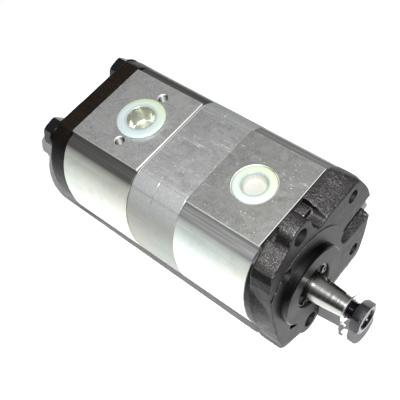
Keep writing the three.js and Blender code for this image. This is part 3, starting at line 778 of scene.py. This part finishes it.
PILOT = turned_steel("turned_iron", (0.024, 0.024, 0.0245), 0.34, 0.3)
PILOT_FACE = turned_steel("faced_iron", (0.013, 0.013, 0.0128), 0.42, 0.15)
# near black for the walls of the front cover's holes: painted shade
PAINTED_HOLE_SHADE = dark_metal("painted_hole_shade_iron", (0.006, 0.006, 0.006), 0.42, 0.3)
INNER_STEEL = turned_steel("inner_steel", (0.5, 0.5, 0.49), 0.3)
BRONZE = turned_steel("bush_metal", (0.45, 0.33, 0.17), 0.35)
BEARING = turned_steel("bearing_aluminium", (0.6, 0.61, 0.62), 0.4)
BLACK = dark_metal("black_steel", (0.002, 0.002, 0.0025), 0.2, 0.0)
THREAD = dark_metal("thread_steel", (0.018, 0.014, 0.019), 0.18, 0.9)
NUT = dark_metal("nut_steel", (0.02, 0.019, 0.022), 0.18)
ZINC = turned_steel("zinc_steel", (0.75, 0.75, 0.74), 0.32)
RUBBER = rubber("rubber")
REAR_PLASTIC = milky_plastic(
    "rear_plug_plastic", (0.34, 0.4, 0.4), REAR_PORT_X, 9.5, (0.54, 0.56, 0.48), 0.85)
FRONT_PLASTIC = milky_plastic(
    "front_plug_plastic", (0.34, 0.4, 0.36), FRONT_PORT_X, 7.9, (0.4, 0.395, 0.36), 0.0)

set_shader(PILOT_FACE, "Metallic", 0.0)
for mat, level in ((IRON, 0.2), (REAR_IRON, 0.15), (PILOT_FACE, 0.12), (BLACK, 0.3)):
    set_shader(mat, "Specular IOR Level", level)


# ------------------------------------------------------------------ housings
def port_cutters(x, spot_r=0, spot_depth=0, screws=0):
    """Bore and, if given, spot face and two tapped screw holes; screws is their distance."""
    bore = PORT_BORE_R
    cutters = [turned([
        (4, 0), (4, bore), (PAD_Z - 0.8, bore), (PAD_Z + 0.2, bore + 1.0),
        (PAD_Z + 2, bore + 1.0), (PAD_Z + 2, 0)], (x, MID_Y), "z", 96)]
    if spot_depth:
        cutters.append(turned([
            (PAD_Z - spot_depth, 0), (PAD_Z - spot_depth, spot_r), (PAD_Z - 0.45, spot_r),
            (PAD_Z + 0.1, spot_r + 0.6), (PAD_Z + 2, spot_r + 0.6), (PAD_Z + 2, 0)],
            (x, MID_Y), "z", 96))
    for side in (-1, 1) if screws else ():
        tap = thread(PAD_Z - TAP_DEPTH, PAD_Z + 2, TAP_R, TAP_PITCH, 0.55, 40)
        tap.data.transform(Matrix.Rotation(math.radians(-90), 4, "Y"))
        tap.data.transform(Matrix.Translation((x, MID_Y + side * screws, 0)))
        cutters.append(tap)
    return both_sides(*cutters)


def bolt_cutters(x0, x1):
    return [rod(x0 - 1, x1 + 1, BOLT_HOLE_R, (y, z), 40) for y, z, _ in BOLT_PLACES]


def gear_body(name, ends, ports, finish):
    """Housing of one gear pair; ends as in plate_prism."""
    x0, x1 = ends[0][0], ends[1][0]
    obj = plate_prism(body_outline(), ends)
    chamber = [rod(x0 - 1, x1 + 1, CHAMBER_R, (y, 0), 96) for y in (0, IDLER_Y)]
    cut(obj, *chamber, *bolt_cutters(x0, x1), *ports)
    piece(obj, name + "_shell", "housing", finish, [name])


gear_body("front_body",
          [(X_FRONT + HAIR, (0.02, 0.3, 0.1), 0.3), (X_COVER - HAIR, (0.3, 0.3, 0.15), 0.3)],
          port_cutters(FRONT_PORT_X, FRONT_SPOT_R, FRONT_SPOT_DEPTH), FRONT_BODY)
gear_body("rear_body",
          [(X_BACK + HAIR, (0.3, 0.2, 0.15), 0.3), (X_REAR - 0.5, (0.8, 0.3, 0.15), 0.7)],
          port_cutters(REAR_PORT_X, screws=PORT_SCREW_Y), REAR_BODY)

PLATE_ENDS = {
    "middle_plate_front": [
        (X_MID + HAIR, (0.02, 0.3, 0.06), 0.3), (X_FRONT - HAIR, (0.02, 0.5, 0.1), 0.5)],
    "middle_plate_rear": [
        (X_REAR + 0.25, (0.5, 0.35, 0.12), 1.0), (X_MID - HAIR, (0.02, 0.3, 0.06), 0.3)],
}
for name, ends in PLATE_ENDS.items():
    x0, x1 = ends[0][0], ends[1][0]
    plate = plate_prism(plate_outline(), ends)
    cut(plate, rod(x0 - 1, x1 + 1, PLATE_BORE_R), *bolt_cutters(x0, x1))
    piece(plate, name + "_shell", "housing", PLATE, [name])


def scaled(outline, factor):
    return [(MID_Y + (y - MID_Y) * factor, z * factor) for y, z in outline]


def front_cover():
    rear = X_COVER + GAP / 2
    flange = flange_outline()
    rough = prism(cover_outline(), rear, -13)
    flank = loft([section(-14.2, cover_outline()),
                  section(-1, scaled(cover_outline(), 0.91))])
    plate = loft([section(-14, inset(flange, -0.2)),
                  section(-0.4, inset(flange, 0.3))])
    ear = loft([section(rear, scaled(ear_outline(), 1.09)),
                section(-0.4, ear_outline())])
    meet(ear, prism(cover_outline(PAD_Z - 0.1), rear - 1, 1))
    join(rough, flank, plate, ear)
    behind_lug = block(-16, -10, LUG_Y - LUG_R - 1, LUG_Y + LUG_R + 1.4, 47, 70)
    valley = prism([
        (13.2, 42.5), (14.2, 39.6), (16.4, 38.2), (21.5, 38.2), (24.0, 40.6), (25.4, 47),
        (25.4, 60), (13.2, 60)], rear - 1, 2)
    cut(rough, *both_sides(behind_lug, valley), prism(slot_outline(), -12, 3))
    recess = prism(
        [(-23.5, 52), (-22.0, 32.0), (-12.5, 36.6), (0.5, 39.4), (1.5, 52)], rear - 1, -15.2)
    cut(rough, *both_sides(recess))
    stud = prism(
        [(15.6, 36), (22, 36), (22, 40.6), (21.4, 41.2), (16.2, 41.2), (15.6, 40.6)], rear, -11)
    join(rough, *both_sides(stud))
    cast_skin(rough, 0.7, 4, [(9.0, 0.35), (1.6, 0.12)])
    # machined faces and holes
    cut(rough, slab(-60, rear), slab(-0.3, 40))
    facing = meet(rod(-3, 0, FACING_R, (0, 0), 160), prism(inset(flange, 0.9), -4, 1))
    join(rough, facing, turned([
        (-4, 0), (-4, PILOT_R), (PILOT_H - 0.8, PILOT_R), (PILOT_H, PILOT_R - 0.8),
        (PILOT_H, 0)], segments=160))
    cutters = [rod(-30, 3, 10, segments=80), prism(slot_outline(), -12, 3)]
    cutters.append(turned([
        (-4.8, 0), (-4.8, SEAL_BORE_R), (PILOT_H - 0.6, SEAL_BORE_R),
        (PILOT_H + 0.1, SEAL_MOUTH_R), (PILOT_H + 2, SEAL_MOUTH_R), (PILOT_H + 2, 0)],
        segments=120))
    cutters.append(rod(2.0, 4.0, CIRCLIP_GROOVE_R, segments=120))
    for y, z, _ in BOLT_PLACES:
        cutters.append(turned([
            (-30, 0), (-30, BOLT_HOLE_R), (-10, BOLT_HOLE_R), (-10, BOLT_MINOR_R),
            (-0.6, BOLT_MINOR_R), (0.3, BOLT_HOLE_R), (3, BOLT_HOLE_R), (3, 0)],
            (y, z), segments=48))
    for sign in (-1, 1):
        cutters.append(turned([
            (-30, 0), (-30, LUG_HOLE_R), (-0.7, LUG_HOLE_R), (0.1, LUG_HOLE_R + 0.7),
            (3, LUG_HOLE_R + 0.7), (3, 0)],
            (LUG_Y, sign * LUG_Z), segments=56))
    cut(rough, *cutters)
    piece(rough, "front_cover_casting", "housing", IRON, ["front_cover"])
    for extra in (PILOT, PILOT_FACE, PAINTED_HOLE_SHADE):
        rough.data.materials.append(extra)
    pilot_side, pilot_face, hole_shade_index = 1, 2, 3
    # walls of the bolt holes, lug holes and shaft bore get the painted hole shade
    drilled = [(y, z, BOLT_HOLE_R + 0.8) for y, z, _ in BOLT_PLACES]
    drilled += [(LUG_Y, sign * LUG_Z, LUG_HOLE_R + 1.0) for sign in (-1, 1)] + [(0.0, 0.0, 17.0)]
    for poly in rough.data.polygons:
        x, y, z = (poly.center - ORIGIN) / MM
        radius = math.hypot(y, z)
        upright = abs(poly.normal.x) < 0.8
        if upright and any(math.hypot(y - cy, z - cz) < r for cy, cz, r in drilled):
            poly.material_index = hole_shade_index
        elif x > 0.02 and radius > PILOT_R - 1 and abs(poly.normal.x) < 0.9:
            poly.material_index = pilot_side
        elif x > PILOT_H - 0.5:
            poly.material_index = pilot_face


front_cover()


def rear_cover():
    outline = cover_outline(PAD_Z - 0.1)
    rough = loft([section(X_END + 0.3, inset(outline, 0.4)),
                  section(X_END + 0.8, outline),
                  section(X_BACK + 1, outline)])
    rib_outline = fourfold([(40, 0), (38, 12), (26, 18), (18, 40), (10, PAD_Z - 1.5)])
    rib = prism(rib_outline, X_END + 0.1, X_END + 3)
    bosses = [rod(X_END + 0.1, X_END + 3, BOSS_R, (y, z)) for y, z, _ in BOLT_PLACES]
    lump = join(rib, *bosses)
    join(rough, meet(lump, prism(outline, X_END - 1, X_BACK)))
    cast_skin(rough, 0.8, 3, [(9.0, 0.3), (1.6, 0.14)])
    cut(rough, slab(X_BACK - GAP / 2, X_BACK + 20), *bolt_cutters(X_END, X_BACK),
        *[rod(X_END - 5, X_END + 0.15, BOSS_SPOT_R, (y, z)) for y, z, _ in BOLT_PLACES])
    piece(rough, "rear_cover_casting", "housing", REAR_IRON, ["rear_cover"])


rear_cover()


# ------------------------------------------------------------------ drive line
def drive_shaft():
    shaft = turned([
        (-75, 0), (-75, 6.4), (-72.4, 6.4), (-72, 8.6), (-71.6, 9), (4.4, 9), (6.5, 8.78),
        (28.6, 6.6), (29, 6.35), (29, 5.4), (29.6, 5.2), (29.6, 0)], segments=128)
    keyway = block(10, KEYWAY_END, -KEYWAY_HALF, KEYWAY_HALF, KEYWAY_FLOOR, 12)
    round_end = rod(KEYWAY_FLOOR, 12, KEYWAY_HALF, (KEYWAY_END, 0), 32, "z")
    join(keyway, round_end)
    keyway.data.transform(Matrix.Rotation(math.radians(KEYWAY_TURN), 4, "X"))
    cut(shaft, keyway)
    piece(shaft, "taper_shaft", "drive", STEEL, ["drive_shaft"], 25)
    screw = thread(29.3, 40.6, THREAD_R, THREAD_PITCH, THREAD_DEPTH)
    piece(screw, "shaft_thread", "drive", THREAD, angle=60)
    gear = prism(gear_outline(), *GEAR_SPAN, 0.2)
    piece(gear, "front_drive_gear_teeth", "drive", INNER_STEEL)


drive_shaft()


def hex_part(across_flats, x0, x1, turn, bore, soften, crown=1.0):
    """Hexagon with chamfered corners; crown is how far the chamfer comes in from the corners."""
    corner = across_flats / math.sqrt(3)
    obj = prism(hexagon(across_flats, turn), x0, x1)
    meet(obj, turned([
        (x0, 0), (x0, corner - crown), (x0 + 0.65 * crown, corner + 0.05),
        (x1 - 0.65 * crown, corner + 0.05), (x1, corner - crown), (x1, 0)], segments=120))
    if bore:
        cut(obj, turned([
            (x0 - 1, 0), (x0 - 1, bore), (x1 - 0.9, bore), (x1 + 0.1, bore + 1.0),
            (x1 + 1, bore + 1.0), (x1 + 1, 0)], segments=72))
    return bevel(obj, soften, 25, 3)


piece(hex_part(HEX_FLATS, NUT_BACK, NUT_FRONT, NUT_TURN, 6.1, 0.28, 1.4),
      "hex_nut", "drive", NUT, ["shaft_nut"])


def tab_outline(y0, y1):
    """A lock washer tab, slightly narrower at its outer end."""
    return [(y0, -1.8), (y1, -1.5), (y1, 1.5), (y0, 1.8)]


def tab_washer():
    x0, x1 = 29.2, 30.2
    ring = turned([
        (x0, 6.3), (x0, 8.7), (x0 + 0.25, 9.0), (x1 - 0.25, 9.0), (x1, 8.7), (x1, 6.5),
        (x1 - 0.2, 6.3)], segments=96)
    tabs = []
    for angle in TAB_TURNS:
        foot = loft([section(x0 + 0.1, tab_outline(7, 10.5)),
                     section(x1 - 0.1, tab_outline(7, 10.5))])
        lip = loft([section(x0 + 0.1, tab_outline(9.7, 10.5)),
                    section(x1 + 1.9, tab_outline(9.7, 10.5))])
        tab = join(foot, lip)
        tab.data.transform(Matrix.Rotation(math.radians(angle), 4, "X"))
        tabs.append(tab)
    join(ring, *tabs)
    piece(ring, "lock_washer", "drive", ZINC, ["tab_washer"])


tab_washer()

# ------------------------------------------------------------------ seal, ring, plugs
LIP_SEAL = [
    (-4.4, 9.4), (-4.4, 15.1), (1.4, 15.1), (1.6, 14.9), (1.6, 13.6), (1.0, 13.1), (-0.4, 12.4),
    (-0.6, 11.8), (0.6, 9.9), (0.7, 9.5), (0.2, 9.3), (-0.6, 9.4),
]
piece(turned(LIP_SEAL, segments=120),
      "lip_seal", "housing", RUBBER, ["shaft_seal"], 60)


def circlip():
    x0, x1 = 2.3, 3.7
    outer = arc((0, 0), 16.3, 6, 230, 90)
    inner = arc((0, 0), 13.7, 230, 6, 90)
    ring = prism(outer + inner, x0, x1)
    ends = [arc((0, 0), 12.7, a, a, 1)[0] for a in (6, 230)]
    join(ring, *[rod(x0, x1, 2.9, e, 40) for e in ends])
    cut(ring, *[rod(x0 - 1, x1 + 1, 1.2, e, 28) for e in ends])
    piece(bevel(ring, 0.15), "circlip", "housing", BLACK, ["retaining_ring"])


circlip()


def plug(x, flange_r, spot, cup_r, depth, rim):
    """Transport plug: a shell in the bore, a flange on the port face and an open cup."""
    seat, shell = PAD_Z - spot + GAP, 10.1
    low, top = seat - depth, seat + rim
    profile = [
        (low, 0), (low, shell - 1.6), (low + 0.6, shell - 0.7), (seat - 2, shell - 0.1),
        (seat, shell), (seat, flange_r - 0.25), (seat + 0.25, flange_r),
        (seat + rim * 0.55, flange_r), (seat + rim * 0.85, flange_r - 0.35),
        (top, flange_r - 1.1), (top, cup_r + 0.7), (top - 0.25, cup_r + 0.15),
        (top - 0.8, cup_r - 0.1), (low + 2.2, cup_r - 0.7), (low + 1.3, cup_r - 1.4),
        (low + 1.1, cup_r - 2.4), (low + 1.1, 0),
    ]
    return turned(profile, (x, MID_Y), "z", 96)


for x, flange_r, spot, cup_r, depth, rim, place, plastic in (
    (REAR_PORT_X, 16.2, 0, 9.2, 12, 1.8, "rear", REAR_PLASTIC),
    (FRONT_PORT_X, FRONT_SPOT_R - 0.2, FRONT_SPOT_DEPTH, 8.1, 5, 1.9, "front", FRONT_PLASTIC),
):
    upper = plug(x, flange_r, spot, cup_r, depth, rim)
    lower = mirror_z(upper)
    for obj, level in ((upper, "upper"), (lower, "lower")):
        piece(obj, f"{place}_transport_plug_{level}", "housing", plastic,
              [f"{place}_port_plug_{level}"], 45)

# ------------------------------------------------------------------ through bolts
for y, z, place in BOLT_PLACES:
    seat = X_END - WASHER_T - GAP
    head = hex_part(HEX_FLATS, seat - 7.7, seat - 0.1, HEAD_TURN, 0, 0.45)
    head.data.transform(Matrix.Translation((0, y, z)))
    shank = turned([
        (seat - 2, 0), (seat - 2, BOLT_R), (-13, BOLT_R), (-12.6, 4.2), (-3.6, 4.2), (-3, 3.6),
        (-3, 0)], (y, z), segments=40)
    join(head, shank)
    piece(head, f"long_bolt_{place}", "housing", BLACK, [f"through_bolt_{place}"])
    washer = turned([
        (X_END - WASHER_T, 5.1), (X_END - WASHER_T, WASHER_R - 0.3),
        (X_END - WASHER_T + 0.3, WASHER_R), (X_END - 0.4, WASHER_R),
        (X_END - 0.1, WASHER_R - 0.3), (X_END - 0.1, 5.1)], (y, z), segments=72)
    piece(washer, f"plain_washer_{place}", "housing", BLACK,
          [f"bolt_washer_{place}"])

# ------------------------------------------------------------------ CAD nodes that stay
for name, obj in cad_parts.items():
    if obj.hide_render:
        continue
    if "seal" in name:
        mat = RUBBER
    elif "bush" in name:
        mat = BRONZE
    elif "bearing_block" in name:
        mat = BEARING
    else:
        mat = INNER_STEEL
    obj.data.materials.clear()
    obj.data.materials.append(mat)


# ------------------------------------------------------------------ stage
def pump_point(x, y, z):
    """A place in the pump's axes, in the frame's metres."""
    return TO_FRAME @ Vector((x, y, z))


# the pump stands on its lower lug and on the rear edge of its lower port face
FRONT_FOOT = (-5.0, LUG_Z + LUG_R)
REAR_FOOT = (X_BACK, PAD_Z)
FLOOR_SLOPE = (FRONT_FOOT[1] - REAR_FOOT[1]) / (FRONT_FOOT[0] - REAR_FOOT[0])
FLOOR_X, FLOOR_HALF = -90.0, 4000.0


def floor_z(x):
    return -FRONT_FOOT[1] - FLOOR_SLOPE * (x - FRONT_FOOT[0]) - 0.05


bm = bmesh.new()
corners = [(FLOOR_X + sx * FLOOR_HALF, sy * FLOOR_HALF)
           for sx, sy in ((-1, -1), (1, -1), (1, 1), (-1, 1))]
bm.faces.new([bm.verts.new((x, y, floor_z(x))) for x, y in corners])
floor = new_object(bm, "floor")
floor.data.transform(TO_FRAME)
floor_mat, ft, floor_shader = tree_for("paper", (0.9, 0.9, 0.9), 0.9, 0.0)
floor_shader.inputs["Specular IOR Level"].default_value = 0.1
ft.links.new(
    ft.mix(ft.span(ft.noise(300, 3), 0.3, 0.7), (0.93, 0.93, 0.93), (0.91, 0.91, 0.91)),
    floor_shader.inputs["Base Color"])
floor_shader.inputs["Emission Color"].default_value = (1, 1, 1, 1)
floor_shader.inputs["Emission Strength"].default_value = 0.06
floor.data.materials.append(floor_mat)

world = bpy.data.worlds.new("studio")
bpy.context.scene.world = world
world.use_nodes = True
sky = world.node_tree
place = sky.nodes.new("ShaderNodeTexCoord").outputs["Generated"]
height = sky.nodes.new("ShaderNodeVectorMath")
height.operation = "DOT_PRODUCT"
height.inputs[1].default_value = (0.0, 0.15, 1.0)
sky.links.new(place, height.inputs[0])
shade = sky.nodes.new("ShaderNodeValToRGB")
sky.links.new(height.outputs["Value"], shade.inputs["Fac"])
SKY_LEVELS = ((0, 0.05), (0.44, 0.09), (0.6, 0.25), (0.78, 0.4), (1, 0.5))
while len(shade.color_ramp.elements) < len(SKY_LEVELS):
    shade.color_ramp.elements.new(0.5)
for element, (at, level) in zip(shade.color_ramp.elements, SKY_LEVELS):
    element.position = at
    element.color = (level * 0.98, level * 0.99, level, 1)
sky.links.new(shade.outputs["Color"], sky.nodes["Background"].inputs["Color"])

# camera: turned by azimuth, elevation and roll about a point near the pump's middle
AZIMUTH, ELEVATION, ROLL = map(math.radians, (54.0, 53.92, -16.51))
AIM, DISTANCE, LENS = Vector((-91.93, 8.83, 0)), 492.43, 67.93
back = Vector((
    math.sin(AZIMUTH) * math.cos(ELEVATION),
    -math.cos(AZIMUTH) * math.cos(ELEVATION),
    math.sin(ELEVATION),
))
level = Vector((math.cos(AZIMUTH), math.sin(AZIMUTH), 0))
rise = back.cross(level)
right = math.cos(ROLL) * level + math.sin(ROLL) * rise
up = -math.sin(ROLL) * level + math.cos(ROLL) * rise
eye = AIM + back * DISTANCE

camera_data = bpy.data.cameras.new("camera")
camera_data.sensor_width = 36
camera_data.lens = LENS
camera_data.clip_start = 0.01
camera = bpy.data.objects.new("camera", camera_data)
bpy.context.scene.collection.objects.link(camera)
rotation = Matrix((right, up, back)).transposed().to_4x4()
camera.matrix_world = Matrix.Translation(pump_point(*eye)) @ rotation
bpy.context.scene.camera = camera


def lamp(name, place, target, size, watts):
    data = bpy.data.lights.new(name, "AREA")
    data.shape = "DISK"
    data.size = size * MM
    data.energy = watts
    obj = bpy.data.objects.new(name, data)
    bpy.context.scene.collection.objects.link(obj)
    place, target = pump_point(*place), pump_point(*target)
    aim = (target - place).to_track_quat("-Z", "Y").to_matrix().to_4x4()
    obj.matrix_world = Matrix.Translation(place) @ aim


# the flash sits a little to the right of the lens and above it
lamp("flash", eye + right * 10.7 + up * 45, (-80, 10, 0), 9, 5.8)

bpy.context.scene.view_settings.view_transform = "Standard"
